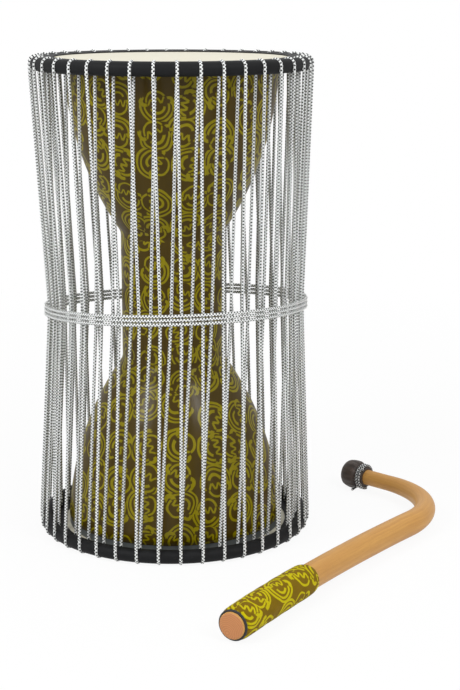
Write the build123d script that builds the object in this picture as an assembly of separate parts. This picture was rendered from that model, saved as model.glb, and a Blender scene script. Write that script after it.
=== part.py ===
from build123d import *
import math
import os

os.makedirs("parts", exist_ok=True)

# A laced hourglass drum and its hooked beater. Lengths are millimetres and angles degrees.
# The origin is on the drum's axis in the plane that it stands on, +Z is up and -Y is the front.

# Overall height, from the standing plane to the tops of the lacing loops
HEIGHT = 424.0

# Lacing cord, how deep it lies in the hoops' covers, and the small gaps that it keeps
CORD = 3.0
CORD_SINK = 1.6
LOOP_COUNT = 40
FRONT_TURN = 4.3
LAY_GAP = 0.1
FOOT_FLAT = 0.5
LEG_RUN = 0.4
STRAND_GAP = 0.6
JOIN_GAP = 5.2

# Hoops, the black covers on them and the heads that they hold
HOOP_RADIUS = 122.2
HOOP_WIDTH = 11.4
HOOP_DEPTH = 12.0
COVER_WALL = 2.4
CORE_GAP = 0.1
COLLAR_RADIUS = 101.5
COLLAR_WALL = 1.0
HEAD_THICKNESS = 0.3
HEAD_INSET = 1.7
HEAD_GRIP = 6.5

# Hourglass shell and the cloth laid on it
WAIST_RADIUS = 45.5
WAIST_LENGTH = 115.0
WAIST_HEIGHT = 212.3
TOP_RIM_RADIUS = 93.0
BOTTOM_RIM_RADIUS = 96.5
BOWL_CURVE = 275.0
NECK_CURVE = 12.0
SHELL_WALL = 4.0
LIP = 6.5
CLOTH = 0.4
CLOTH_GAP = 0.05

# Belt of cord round the strands, which it draws in, and its knot at the back
BELT_HEIGHT = 203.1
BELT_SIDE_TILT = 1.1
BELT_FRONT_TILT = 4.7
BELT_SHIFT = 2.5
DRAWN_RADIUS = 112.8
DRAWN_INNER_RADIUS = 108.5
BELT_TURNS = 3
BELT_PITCH = 3.5
BELT_GAP = 0.45
KNOT_RADIUS = 4.0
KNOT_LENGTH = 11.0
KNOT_ROUND = 2.8
KNOT_GAP = 0.3

# Bands of strands that move together, as the largest angle from the line of the squeeze
BAND_EDGES = (17.0, 37.0, 57.0, 75.0)

# Beater: a bowed stick with a bent end, a cloth grip at its butt and a bound leather cap at its tip.
# It lies level on the grip and the cap, which have one radius.
BUTT_X = 51.7
BUTT_Y = -278.8
STICK_HEADING = 59.5
BOW_RADIUS = 1794.0
SHAFT_LENGTH = 279.0
BEND_RADIUS = 84.0
BEND_TURN = 85.8
ARM_LENGTH = 53.8
STICK_RADIUS = 10.9
ARM_RADIUS = 7.4
BUTT_ROUND = 1.5
REST_RADIUS = 13.5
GRIP_LENGTH = 112.0
GRIP_GAP = 0.1
BAND_WIDTH = 2.2
BAND_RADIUS = 12.0
BAND_SETBACK = 1.6
CAP_LENGTH = 26.5
CAP_WALL = 1.6
CAP_ROUND = 5.0
CAP_NECK_RADIUS = 9.6
CAP_NECK_LENGTH = 8.0
CAP_GAP = 0.1
TIE_CORD = 2.6
TIE_TURNS = 2
TIE_PITCH = 3.1
TIE_GAP = 0.3

# Values that follow from the sizes above
STEP = 360 / LOOP_COUNT
CORD_RISE = CORD - CORD_SINK
TOP_EDGE = HEIGHT - CORD_RISE
BOTTOM_EDGE = CORD_RISE - FOOT_FLAT
HOOP_MIDDLE = HOOP_RADIUS - HOOP_WIDTH / 2
LOOP_RADIUS = HOOP_WIDTH / 2 + CORD / 2 - CORD_SINK
OUTER_RADIUS = HOOP_MIDDLE + LOOP_RADIUS
INNER_RADIUS = HOOP_MIDDLE - LOOP_RADIUS
STRAND_START = HOOP_DEPTH + LEG_RUN + STRAND_GAP
RIM_INSET = HEAD_INSET + HEAD_THICKNESS
SHELL_BOTTOM = BOTTOM_EDGE + RIM_INSET
SHELL_TOP = TOP_EDGE - RIM_INSET
BELT_RADIUS = DRAWN_RADIUS + CORD + BELT_GAP


def turned(section):
    """Turns a section drawn as (radius, height) about the drum's axis."""
    return revolve(Plane.XZ * section, Axis.Z)


def strip(low_radius, low_z, high_radius, high_z):
    """Gives the rectangle between two corners, each a radius and a height."""
    middle = Pos((low_radius + high_radius) / 2, (low_z + high_z) / 2)
    return middle * Rectangle(abs(high_radius - low_radius), abs(high_z - low_z))


def around(radius, angle, z):
    """Gives the point at an angle from the drum's front, counted towards its right side."""
    turn = math.radians(angle)
    return Vector(radius * math.sin(turn), -radius * math.cos(turn), z)


def rod(start, end, radius):
    """Gives the round bar between two points."""
    run = end - start
    place = Plane(origin=start, z_dir=run)
    return place * Cylinder(radius, run.length, align=(Align.CENTER, Align.CENTER, Align.MIN))


def save(name, *solids):
    """Writes the solids of one named piece."""
    shape = solids[0] if len(solids) == 1 else Compound(children=list(solids))
    export_step(shape, f"parts/{name}.step")


def shell_section(offset):
    """Gives the face inside the shell's outline, moved out from the axis by an offset."""
    neck = WAIST_RADIUS + offset
    low = WAIST_HEIGHT - WAIST_LENGTH / 2
    high = WAIST_HEIGHT + WAIST_LENGTH / 2
    bottom = (BOTTOM_RIM_RADIUS + offset, SHELL_BOTTOM)
    top = (TOP_RIM_RADIUS + offset, SHELL_TOP)
    bowl_low = RadiusArc(bottom, (neck, low), -BOWL_CURVE)
    waist = Line((neck, low), (neck, high))
    bowl_high = RadiusArc((neck, high), top, -BOWL_CURVE)
    closing = Polyline(top, (0, SHELL_TOP), (0, SHELL_BOTTOM), bottom)
    face = make_face([bowl_low, waist, bowl_high, closing])
    corners = [v for v in face.vertices() if abs(v.X - neck) < 1e-6]
    return fillet(corners, NECK_CURVE)


def make_shell():
    """Makes the moulded shell, bare at its lips, and the cloth laid on it."""
    shell = turned(shell_section(0) - shell_section(-SHELL_WALL))
    between = strip(0, SHELL_BOTTOM + LIP, BOTTOM_RIM_RADIUS + TOP_RIM_RADIUS, SHELL_TOP - LIP)
    skin = shell_section(CLOTH_GAP + CLOTH) - shell_section(CLOTH_GAP)
    cloth = turned(skin & between)
    save("shell", shell)
    save("shell_cloth", cloth)


def loop_path(edge, inward):
    """Gives a loop's middle line over a hoop: up its outside, round its edge, down its inside.

    edge is the height of the hoop's outer edge, and inward is 1 where the drum lies above it, or -1.
    """
    bend = edge + inward * HOOP_WIDTH / 2
    end = edge + inward * (HOOP_DEPTH + LEG_RUN)
    tip = bend - inward * LOOP_RADIUS
    outside = Line((OUTER_RADIUS, 0, end), (OUTER_RADIUS, 0, bend))
    over = ThreePointArc((OUTER_RADIUS, 0, bend), (HOOP_MIDDLE, 0, tip), (INNER_RADIUS, 0, bend))
    inside = Line((INNER_RADIUS, 0, bend), (INNER_RADIUS, 0, end))
    return Wire([outside, over, inside])


def loop_tube(edge, inward, radius):
    """Gives a tube of a radius along a loop's middle line, lying over +X."""
    path = loop_path(edge, inward)
    section = Plane(origin=path @ 0, z_dir=path % 0) * Circle(radius)
    return sweep(section, path)


def laced(shape):
    """Gives a copy of a shape that lies over +X at each loop's place round the drum."""
    return [shape.rotate(Axis.Z, FRONT_TURN - 90 + STEP * i) for i in range(LOOP_COUNT)]


def make_end(name, edge, inward):
    """Makes one end of the drum: the head, the hoop's core, its laced cover and the loops."""
    middle = edge + inward * HOOP_DEPTH / 2
    head_out = edge + inward * HEAD_INSET
    head_in = edge + inward * RIM_INSET

    def hoop_ring(inset):
        slot = SlotOverall(HOOP_DEPTH - 2 * inset, HOOP_WIDTH - 2 * inset, rotation=90)
        return turned(Pos(HOOP_MIDDLE, middle) * slot)

    head_radius = COLLAR_RADIUS + HEAD_GRIP
    collar_out = head_out - inward * COLLAR_WALL
    collar_in = head_in + inward * COLLAR_WALL
    collar = strip(COLLAR_RADIUS, collar_out, HOOP_MIDDLE, collar_in)
    collar -= strip(0, head_out, head_radius, head_in)
    groove = loop_tube(edge, inward, CORD / 2 + LAY_GAP)
    cover = turned(collar) + hoop_ring(0) - hoop_ring(COVER_WALL) - laced(groove)
    loop = loop_tube(edge, inward, CORD / 2)
    if inward > 0:
        under = Box(4 * LOOP_RADIUS, 2 * CORD, CORD, align=(Align.CENTER, Align.CENTER, Align.MAX))
        loop -= Pos(HOOP_MIDDLE, 0, 0) * under
    save(f"{name}_head", turned(strip(0, head_out, head_radius, head_in)))
    save(f"{name}_hoop_core", hoop_ring(COVER_WALL + CORE_GAP))
    save(f"{name}_hoop_cover", cover)
    save(f"{name}_lacing_loops", *laced(loop))


def belt_point(radius, angle, rise=0.0):
    """Gives the point at an angle on the belt's tilted plane, raised above it."""
    flat = around(radius, angle, 0) + Vector(BELT_SHIFT, 0, 0)
    side_rise = flat.X * math.tan(math.radians(BELT_SIDE_TILT))
    front_rise = -flat.Y * math.tan(math.radians(BELT_FRONT_TILT))
    return Vector(flat.X, flat.Y, BELT_HEIGHT + side_rise + front_rise + rise)


def band_name(angle):
    """Gives the band that a strand belongs to, from its angle where it passes the belt.

    The squeeze is from side to side. The last bands, at the front and the back, stay where they are.
    """
    from_front = (angle + 180) % 360 - 180
    off_line = abs(abs(from_front) - 90)
    for number, edge in enumerate(BAND_EDGES, start=1):
        if off_line < edge:
            return f"{'right' if from_front > 0 else 'left'}_strands_{number}"
    return "front_strands" if abs(from_front) < 90 else "back_strands"


def half_strand(radius, angle, edge, inward, drawn):
    """Gives a strand's half, from its loop to where it passes behind the belt."""
    start = around(radius, angle, edge + inward * STRAND_START)
    run = drawn - start
    return rod(start, drawn - run.normalized() * (JOIN_GAP / 2), CORD / 2)


def make_strands():
    """Makes the strands: one straight down from each loop, and one slanting to the next loop."""
    bands = {}
    outside = (OUTER_RADIUS, DRAWN_RADIUS, 0)
    inside = (INNER_RADIUS, DRAWN_INNER_RADIUS, STEP)
    for i in range(LOOP_COUNT):
        foot = FRONT_TURN + STEP * i
        for radius, drawn_radius, lean in (outside, inside):
            waist = foot + lean / 2
            drawn = belt_point(drawn_radius, waist)
            band = band_name(waist)
            upper = half_strand(radius, foot + lean, TOP_EDGE, -1, drawn)
            lower = half_strand(radius, foot, BOTTOM_EDGE, 1, drawn)
            if band in ("front_strands", "back_strands"):
                bands.setdefault(band, []).extend([upper, lower])
            else:
                bands.setdefault(f"upper_{band}", []).append(upper)
                bands.setdefault(f"lower_{band}", []).append(lower)
    for name, halves in bands.items():
        save(name, *halves)


def biarc(start, start_way, end, end_way):
    """Gives the two tangent arcs that join two points, each with the way that the line runs there."""
    run = end - start
    both = start_way + end_way
    bend = 2 * (1 - start_way.dot(end_way))
    reach = (math.sqrt(run.dot(both) ** 2 + bend * run.dot(run)) - run.dot(both)) / bend
    join = (start + end + (start_way - end_way) * reach) / 2
    first = TangentArc(start, join, tangent=start_way)
    second = TangentArc(join, end, tangent=first % 1)
    return [first, second]


def wound(point, turns, radius):
    """Gives a tube along turns of a winding, with straight ends, and its points' least gap.

    point gives a place on the winding from its count of turns, from 0.
    """
    quarters = round(turns * 4)
    nudge = 1e-4

    def way(t):
        return (point(t + nudge) - point(t - nudge)).normalized()

    marks = [i / 4 for i in range(quarters + 1)]
    lead = point(0) - way(0) * 2 * radius
    tail = point(turns) + way(turns) * 2 * radius
    edges = [Line(lead, point(0))]
    for a, b in zip(marks, marks[1:]):
        edges += biarc(point(a), way(a), point(b), way(b))
    edges.append(Line(point(turns), tail))
    path = Wire(edges)
    section = Plane(origin=lead, z_dir=way(0)) * Circle(radius)
    per_turn = 72
    places = [point(i / per_turn) for i in range(round(turns * per_turn) + 1)]
    half = per_turn // 2
    pairs = [(a, b) for i, a in enumerate(places) for b in places[i + half:]]
    least = min((a - b).length for a, b in pairs) - 2 * radius
    return sweep(section, path), least


def make_belt():
    """Makes the belt, wound round all the strands, and the knot that closes it at the back."""
    middle = BELT_TURNS / 2

    def place(t):
        return belt_point(BELT_RADIUS, 180 + 360 * t, (t - middle) * BELT_PITCH)

    belt, least = wound(place, BELT_TURNS, CORD / 2)
    print(f"belt: least gap between turns {least:.2f} mm")
    out = BELT_RADIUS + CORD / 2 + KNOT_GAP + KNOT_RADIUS
    at = belt_point(out, 180)
    knot = Pos(at) * Cylinder(KNOT_RADIUS, KNOT_LENGTH)
    knot = fillet(knot.edges(), KNOT_ROUND)
    save("waist_belt", belt)
    save("waist_belt_knot", knot)


def level(heading):
    """Gives the level way at a heading, counted from +X towards +Y."""
    turn = math.radians(heading)
    return Vector(math.cos(turn), math.sin(turn), 0)


def make_beater():
    """Makes the beater lying on the surface, on its grip and its cap."""
    base = (Align.CENTER, Align.CENTER, Align.MIN)
    butt = Vector(BUTT_X, BUTT_Y, REST_RADIUS)
    bow_centre = butt + level(STICK_HEADING - 90) * BOW_RADIUS

    def bow_turn(length):
        return math.degrees(length / BOW_RADIUS)

    def bowed(radius, start, length):
        side = STICK_HEADING + 90 - bow_turn(start)
        arc = CenterArc(bow_centre, BOW_RADIUS, side, -bow_turn(length))
        return sweep(Plane(origin=arc @ 0, z_dir=arc % 0) * Circle(radius), arc)

    def sleeve(radius, start, length):
        return bowed(radius, start, length) - bowed(STICK_RADIUS + GRIP_GAP, start, length)

    bend_heading = STICK_HEADING - bow_turn(SHAFT_LENGTH)
    bend_centre = bow_centre + level(bend_heading + 90) * (BOW_RADIUS + BEND_RADIUS)
    bend_arc = CenterArc(bend_centre, BEND_RADIUS, bend_heading - 90, BEND_TURN)
    knee = Plane(origin=bend_arc @ 0, z_dir=bend_arc % 0, x_dir=(0, 0, 1))
    arm = Plane(origin=bend_arc @ 1, z_dir=bend_arc % 1, x_dir=(0, 0, 1))
    stick_end = ARM_LENGTH - CAP_WALL - CAP_GAP

    shaft = bowed(STICK_RADIUS, 0, SHAFT_LENGTH)
    butt_edge = min(shaft.edges(), key=lambda edge: (edge.center() - butt).length)
    shaft = fillet(butt_edge, BUTT_ROUND)
    bend = sweep([knee * Circle(STICK_RADIUS), arm * Circle(ARM_RADIUS)], bend_arc, multisection=True)
    stick = shaft + bend + arm * Cylinder(ARM_RADIUS, stick_end, align=base)

    cap_start = ARM_LENGTH - CAP_LENGTH
    full_start = cap_start + CAP_NECK_LENGTH

    def cap_section(inset, neck):
        shoulder = neck[-1][1] if inset else full_start
        flare = REST_RADIUS - CAP_NECK_RADIUS
        outline = Polyline(
            *neck,
            (CAP_NECK_RADIUS - inset, shoulder),
            (REST_RADIUS - inset, shoulder + flare),
            (REST_RADIUS - inset, ARM_LENGTH - inset),
            (0, ARM_LENGTH - inset),
            close=True,
        )
        face = make_face(outline)
        rim = [v for v in face.vertices() if v.X > REST_RADIUS - inset - 1e-6]
        corner = max(rim, key=lambda v: v.Y)
        return fillet(corner, CAP_ROUND - inset)

    bore = strip(0, 0, ARM_RADIUS + CAP_GAP, stick_end + CAP_GAP)
    cap = cap_section(0, [(0, cap_start), (CAP_NECK_RADIUS, cap_start)])
    cap -= cap_section(CAP_WALL, [(0, full_start)])
    cap -= bore
    pad = cap_section(CAP_WALL + CAP_GAP, [(0, full_start + CAP_GAP)]) - bore

    def on_arm(section):
        return arm * revolve(Plane.XZ * section, Axis.Z)

    tie_radius = CAP_NECK_RADIUS + TIE_GAP + TIE_CORD / 2
    tie_low = cap_start + (CAP_NECK_LENGTH - TIE_PITCH * TIE_TURNS) / 2

    def tie_place(t):
        turn = 2 * math.pi * t
        return arm.from_local_coords(
            Vector(-tie_radius * math.cos(turn), tie_radius * math.sin(turn), tie_low + TIE_PITCH * t)
        )

    tie, least = wound(tie_place, TIE_TURNS, TIE_CORD / 2)
    print(f"beater tie: least gap between turns {least:.2f} mm")
    save("beater_stick", stick)
    save("beater_grip_cloth", sleeve(REST_RADIUS, BAND_SETBACK + BAND_WIDTH, GRIP_LENGTH))
    save("beater_grip_band", sleeve(BAND_RADIUS, BAND_SETBACK, BAND_WIDTH))
    save("beater_tip_pad", on_arm(pad))
    save("beater_tip_cap", on_arm(cap))
    save("beater_tip_tie", tie)


make_shell()
make_end("top", TOP_EDGE, -1)
make_end("bottom", BOTTOM_EDGE, 1)
make_strands()
make_belt()
make_beater()
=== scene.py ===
"""Dresses the packed laced drum and its hooked beater, and sets them in a plain studio.

Lengths are metres in the frame of the packed model: +Z up along the drum's axis, -Y its front.
"""

from __future__ import annotations

import functools
import logging
import math
from dataclasses import dataclass, field
from enum import Enum
from typing import Any, Callable, Iterator

import bmesh
import bpy
from mathutils import Matrix, Vector, noise


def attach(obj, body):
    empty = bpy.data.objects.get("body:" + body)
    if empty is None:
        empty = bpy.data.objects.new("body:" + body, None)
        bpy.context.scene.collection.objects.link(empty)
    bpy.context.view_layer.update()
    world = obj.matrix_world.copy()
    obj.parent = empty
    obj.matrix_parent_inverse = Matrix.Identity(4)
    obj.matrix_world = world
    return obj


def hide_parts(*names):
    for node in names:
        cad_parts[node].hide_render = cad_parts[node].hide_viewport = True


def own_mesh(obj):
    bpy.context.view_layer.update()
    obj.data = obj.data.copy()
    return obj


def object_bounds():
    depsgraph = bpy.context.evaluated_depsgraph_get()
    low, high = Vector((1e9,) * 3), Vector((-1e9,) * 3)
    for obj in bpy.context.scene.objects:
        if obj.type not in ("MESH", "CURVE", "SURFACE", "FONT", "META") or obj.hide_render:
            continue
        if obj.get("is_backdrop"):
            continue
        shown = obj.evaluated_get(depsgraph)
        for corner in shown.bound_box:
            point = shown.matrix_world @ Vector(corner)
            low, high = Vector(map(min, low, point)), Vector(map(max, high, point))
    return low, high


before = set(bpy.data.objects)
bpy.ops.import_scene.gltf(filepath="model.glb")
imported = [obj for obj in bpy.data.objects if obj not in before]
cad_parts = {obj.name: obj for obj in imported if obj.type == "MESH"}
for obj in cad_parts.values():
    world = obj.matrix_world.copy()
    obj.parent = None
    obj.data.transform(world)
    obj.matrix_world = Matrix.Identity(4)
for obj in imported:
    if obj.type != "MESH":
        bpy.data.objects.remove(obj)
CAD_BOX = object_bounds()

log = logging.getLogger("drum")
logging.basicConfig(level=logging.INFO, format="%(name)s: %(message)s")

MM = 0.001
TAU = 2 * math.pi
UP = Vector((0, 0, 1))
RIGHT = Vector((1, 0, 0))
BACK = Vector((0, 1, 0))
QUARTER_TURN = math.radians(90)

Colour = tuple[float, float, float]
Sockets = dict[Any, Any]


def shade(colour: Colour, share: float) -> Colour:
    """Gives a colour made darker or lighter by a share."""
    return tuple(c * share for c in colour)


def operator(operation: str, text: str) -> Callable[..., Value]:
    """Makes a method of Value that adds one Math node.

    Args:
        operation: The Math node's operation.
        text: What the method does.

    Returns:
        The method.
    """

    def method(value: Value, *others: Any) -> Value:
        return value.maths(operation, *others)

    method.__doc__ = text
    return method


@dataclass(frozen=True)
class Value:
    """One output of a node, with arithmetic that adds Math nodes to its tree."""

    graph: Graph
    socket: bpy.types.NodeSocket

    def sibling(self, name: str) -> Value:
        """Gives another output of the same node."""
        return Value(self.graph, self.socket.node.outputs[name])

    def maths(self, operation: str, *others: Any, clamp: bool = False) -> Value:
        """Gives a Math node's result on this value and its further inputs, clamped from 0 to 1 or not."""
        settings = {"operation": operation, "use_clamp": clamp}
        return self.graph.add("ShaderNodeMath", settings, dict(enumerate((self, *others))))

    __add__ = __radd__ = operator("ADD", "Adds.")
    __mul__ = __rmul__ = operator("MULTIPLY", "Multiplies.")
    __sub__ = operator("SUBTRACT", "Subtracts.")
    __truediv__ = operator("DIVIDE", "Divides.")
    __abs__ = operator("ABSOLUTE", "Gives the size without the sign.")
    __or__ = operator("MAXIMUM", "Gives the larger of two masks.")
    __and__ = operator("MINIMUM", "Gives the smaller of two masks.")
    sin = operator("SINE", "Gives the sine of an angle in radians.")
    cos = operator("COSINE", "Gives the cosine of an angle in radians.")
    root = operator("SQRT", "Gives the square root.")

    def __rsub__(self, other: Any) -> Value:
        """Subtracts this from a number."""
        return self.maths("MULTIPLY_ADD", -1.0, other)

    def above(self, edge: Any, soft: float) -> Value:
        """Gives a mask that rises from 0 to 1 where this passes an edge, over a soft width."""
        return (self - edge).maths("MULTIPLY_ADD", 1 / soft, 0.5, clamp=True)

    def below(self, edge: Any, soft: float) -> Value:
        """Gives a mask that falls from 1 to 0 where this passes an edge, over a soft width."""
        return (self - edge).maths("MULTIPLY_ADD", -1 / soft, 0.5, clamp=True)


class Graph:
    """The node tree of a material or of the room, under construction."""

    def __init__(self, name: str, room: bool = False) -> None:
        """Starts an empty tree.

        Args:
            name: The name of its owner.
            room: Whether that is the room and not a material.
        """
        self.owner = (bpy.data.worlds if room else bpy.data.materials).new(name)
        self.owner.use_nodes = True
        self.tree = self.owner.node_tree
        self.tree.nodes.clear()

    def add(self, kind: str, settings: Sockets | None = None, sockets: Sockets | None = None) -> Value:
        """Adds a node.

        Args:
            kind: The node's type.
            settings: Its own settings, set first.
            sockets: Values, links or numbers for its inputs, by name or place.

        Returns:
            The node's first enabled output.
        """
        made = self.tree.nodes.new(kind)
        for key, setting in (settings or {}).items():
            setattr(made, key, setting)
        for key, given in (sockets or {}).items():
            if isinstance(given, Value):
                self.tree.links.new(given.socket, made.inputs[key])
            else:
                made.inputs[key].default_value = given
        shown = [o for o in made.outputs if o.enabled]
        return Value(self, shown[0]) if shown else Value(self, None)

    def uv(self) -> Value:
        """Gives the piece's own UV map."""
        return self.add("ShaderNodeTexCoord").sibling("UV")

    def place(self) -> Value:
        """Gives the piece's Object coordinates."""
        return self.add("ShaderNodeTexCoord").sibling("Object")

    def parts(self, vector: Value) -> tuple[Value, Value, Value]:
        """Splits a vector into its three numbers."""
        x = self.add("ShaderNodeSeparateXYZ", None, {"Vector": vector})
        return x, x.sibling("Y"), x.sibling("Z")

    def vector(self, x: Any, y: Any, z: Any = 0.0) -> Value:
        """Joins three numbers into a vector."""
        return self.add("ShaderNodeCombineXYZ", None, {0: x, 1: y, 2: z})

    def grain(self, at: Value, scale: float, detail: float = 3.0, rough: float = 0.55) -> Value:
        """Gives noise from 0 to 1 with so many lumps to a unit, and finer layers of some strength."""
        sockets = {"Vector": at, "Scale": scale, "Detail": detail, "Roughness": rough}
        return self.add("ShaderNodeTexNoise", None, sockets)

    def blend(self, share: Any, first: Any, second: Any) -> Value:
        """Mixes two colours or links by the second one's share."""
        colours = [c if isinstance(c, Value) else (*c, 1.0) for c in (first, second)]
        return self.add("ShaderNodeMix", {"data_type": "RGBA"}, {0: share, 6: colours[0], 7: colours[1]})

    def bump(self, height: Value, depth: float, strength: float = 1.0) -> Value:
        """Gives a normal bent by a height map, whose 0 and 1 lie a depth apart."""
        sockets = {"Height": height, "Distance": depth, "Strength": strength}
        return self.add("ShaderNodeBump", None, sockets)

    def close(self, shader: Value) -> bpy.types.Material:
        """Links a shader to the output and gives the finished material."""
        self.add("ShaderNodeOutputMaterial", None, {"Surface": shader})
        return self.owner


class Finish:
    """A finish of one or more pieces, which makes a material of its name."""

    name: str

    def sockets(self, graph: Graph) -> Sockets:
        """Gives the surface's inputs by name."""
        raise NotImplementedError

    def material(self) -> bpy.types.Material:
        """Gives the material."""
        graph = Graph(self.name)
        return graph.close(graph.add("ShaderNodeBsdfPrincipled", None, self.sockets(graph)))


@dataclass(frozen=True)
class BraidedCord(Finish):
    """White cord braided with black: pale beads in two staggered rows, dark thread between them."""

    name: str = "braided_cord"
    pale: Colour = (0.90, 0.92, 0.91)
    dark: Colour = (0.012, 0.012, 0.013)
    bare_share: float = 0.16
    relief: float = 0.35 * MM

    def sockets(self, graph: Graph) -> Sockets:
        """Gives the surface's inputs, which read a map of turns around and beads along."""
        around, along, _ = graph.parts(graph.uv())
        braid = (along * TAU).cos() * (around * (2 * TAU)).sin()
        thread = graph.grain(graph.vector(around * 9.0, along * 2.0), 3.0)
        dark = (braid + (thread - 0.5) * 0.2).below(-self.bare_share, 0.2)
        fleck = graph.grain(graph.vector(around * 2.0, along * 0.11), 2.0)
        pale = graph.blend(fleck.above(0.5, 0.5), self.pale, shade(self.pale, 0.86))
        twist = ((along * 3.0 + around * 8.0) * TAU).sin() * 0.12
        height = braid * 0.5 + twist + 0.5
        return {
            "Base Color": graph.blend(dark, pale, self.dark),
            "Roughness": 0.42 + thread * 0.25,
            "Specular IOR Level": 0.4,
            "Normal": graph.bump(height, self.relief, 0.8),
        }


class Coating(Enum):
    """How a cloth is finished."""

    LACQUER = 1
    BARE = 2


@dataclass(frozen=True)
class PrintedCloth(Finish):
    """Cotton printed with round hand-cut signs: a hooked double ring with a wavy comb inside."""

    name: str
    ground: Colour
    ink: Colour
    coating: Coating
    spacing: float = 26 * MM
    fill: float = 0.53
    wobble: float = 0.26
    line: float = 0.066
    thread: float = 0.9 * MM
    lacquer_relief: float = 1.1 * MM
    bare_relief: float = 0.7 * MM
    # lumps to a metre in the hand-cut lines, the dye, the wear and the dents
    hand_lumps: float = 70.0
    dye_lumps: float = 55.0
    wear_lumps: float = 900.0
    dent_lumps: float = 34.0
    scatter: float = 0.42
    # the comb's pace in radians, and its waves' height, shift and half length in shares of a sign's reach
    comb_pace: float = 16.0
    comb_sway: float = 0.12
    comb_shift: float = 0.24
    comb_half: float = 0.50
    # each arc's shift and radius in shares of a sign's reach, its line's weight and its ends in turns
    arcs: tuple[tuple[float, ...], ...] = (
        (0.0, 0.0, 0.92, 1.0, -0.30, 0.36),
        (0.0, 0.0, 0.70, 0.9, -0.24, 0.26),
        (0.30, -0.02, 0.55, 0.95, 0.24, 0.70),
        (0.36, -0.62, 0.24, 1.7, -0.05, 0.38),
        (0.10, 0.72, 0.20, 1.5, 0.45, 0.92),
        (0.0, 0.04, 0.40, 1.2, -0.19, 0.19),
    )

    def sign(self, graph: Graph, at: Value) -> Value:
        """Gives the mask of the printed lines.

        Args:
            graph: The tree.
            at: The cloth's flat place, in metres.

        Returns:
            The mask, 1 on the ink.
        """
        x, y, _ = graph.parts(at)
        lumps = {"Vector": at, "Scale": self.hand_lumps, "Detail": 1.0}
        hand = graph.add("ShaderNodeTexNoise", None, lumps)
        sway, swing, _ = graph.parts(hand.sibling("Color"))
        cells = graph.add(
            "ShaderNodeTexVoronoi",
            {"voronoi_dimensions": "2D"},
            {"Vector": at, "Scale": 1 / self.spacing, "Randomness": self.scatter},
        )
        chance, flip, size = graph.parts(cells.sibling("Color"))
        cx, cy, _ = graph.parts(cells.sibling("Position"))
        reach = self.spacing * self.fill
        px = (x - cx) / reach + (sway - 0.5) * self.wobble
        py = (y - cy) / reach + (swing - 0.5) * self.wobble
        px = px * (flip.above(0.5, 0.001) * 2.0 - 1.0)
        turn = chance * TAU
        cosine, sine = turn.cos(), turn.sin()
        lx = px * cosine + py * sine
        ly = py * cosine - px * sine
        line = self.line + (sway - 0.5) * 0.04 + (size - 0.5) * 0.02
        return self._rings(lx, ly, line) | self._comb(lx, ly, line)

    @staticmethod
    def _arc(x: Value, y: Value, radius: float, line: Any, start: float, end: float) -> Value:
        """Gives the mask of a drawn arc.

        Args:
            x: Distance from the arc's centre.
            y: Distance from the arc's centre.
            radius: The arc's radius.
            line: Half the line's width.
            start: The angle where it begins, in turns.
            end: The angle where it ends, in turns.

        Returns:
            The mask.
        """
        out = (x * x + y * y).root()
        middle = (start + end) / 2 * TAU
        ahead = x * math.cos(middle) + y * math.sin(middle)
        beside = y * math.cos(middle) - x * math.sin(middle)
        angle = abs(beside.maths("ARCTAN2", ahead))
        held = angle.below((end - start) / 2 * TAU, 0.12)
        return (abs(out - radius) - line).below(0.0, 0.035) & held

    def _rings(self, x: Value, y: Value, line: Value) -> Value:
        """Gives the mask of the sign's rings, the hooks that they end in and the arc at the comb."""
        drawn = [
            self._arc(x + left, y + down, radius, line * weight, start, end)
            for left, down, radius, weight, start, end in self.arcs
        ]
        return functools.reduce(lambda first, second: first | second, drawn)

    def _comb(self, x: Value, y: Value, line: Value) -> Value:
        """Gives the mask of the wavy comb inside the rings."""
        pace, sway = self.comb_pace, self.comb_sway
        slope = (y * pace).cos() * (pace * sway)
        steep = (slope * slope + 1.0).root()
        wave = abs(x + self.comb_shift - (y * pace).sin() * sway) / steep
        return (wave - line * 0.95).below(0.0, 0.04) & abs(y).below(self.comb_half, 0.05)

    def sockets(self, graph: Graph) -> Sockets:
        """Gives the surface's inputs, which read a map of the flat cloth in metres."""
        at = graph.uv()
        x, y, _ = graph.parts(at)
        pace = TAU / self.thread
        weave = (x * pace).sin() * (y * pace).sin()
        cloudy = graph.grain(at, self.dye_lumps, 4.0)
        worn = graph.grain(at, self.wear_lumps, 2.0)
        ink = self.sign(graph, at) * (0.86 + (worn - 0.5) * 0.5)
        ground = graph.blend(cloudy, shade(self.ground, 0.72), shade(self.ground, 1.25))
        ground = graph.blend(weave.above(0.45, 0.6) * 0.25, ground, shade(self.ground, 1.7))
        colour = graph.blend(ink, ground, self.ink)
        dents = graph.grain(at, self.dent_lumps, 2.0)
        inputs: Sockets = {"Base Color": colour, "Specular IOR Level": 0.05}
        if self.coating is Coating.LACQUER:
            height = dents * 0.9 + cloudy * 0.1
            inputs |= {
                "Roughness": 0.46 + cloudy * 0.12,
                "Coat Weight": 0.30 + (cloudy - 0.5) * 0.15,
                "Coat Roughness": 0.22,
                "Coat IOR": 1.5,
                "Normal": graph.bump(height, self.lacquer_relief, 0.35),
            }
        else:
            height = dents * 0.6 + weave * 0.06 + 0.2
            inputs |= {
                "Roughness": 0.74 + worn * 0.15,
                "Sheen Weight": 0.04,
                "Normal": graph.bump(height, self.bare_relief, 0.6),
            }
        return inputs


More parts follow.
